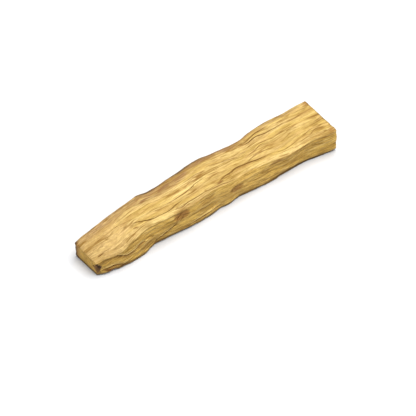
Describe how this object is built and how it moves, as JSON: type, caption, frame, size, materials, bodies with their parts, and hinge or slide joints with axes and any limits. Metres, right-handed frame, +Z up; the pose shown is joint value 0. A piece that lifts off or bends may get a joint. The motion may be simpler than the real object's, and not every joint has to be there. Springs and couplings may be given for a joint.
{
  "type": "palo santo stick",
  "caption": "Short split stick of palo santo wood with sawn ends, a wavy grain, drying checks and a flat underside to lie on.",
  "frame": {"origin": "middle of the underside, on the surface that the stick lies on", "axes": "+X along the stick towards its thick end, +Z up, -Y towards the long side with the torn ledges"},
  "size_m": [0.1, 0.0198, 0.0101],
  "materials": {
    "split_wood": "bare split wood, golden tan, unsanded and matt"
  },
  "bodies": {
    "root": {"stick": "split_wood"}
  },
  "joints": []
}
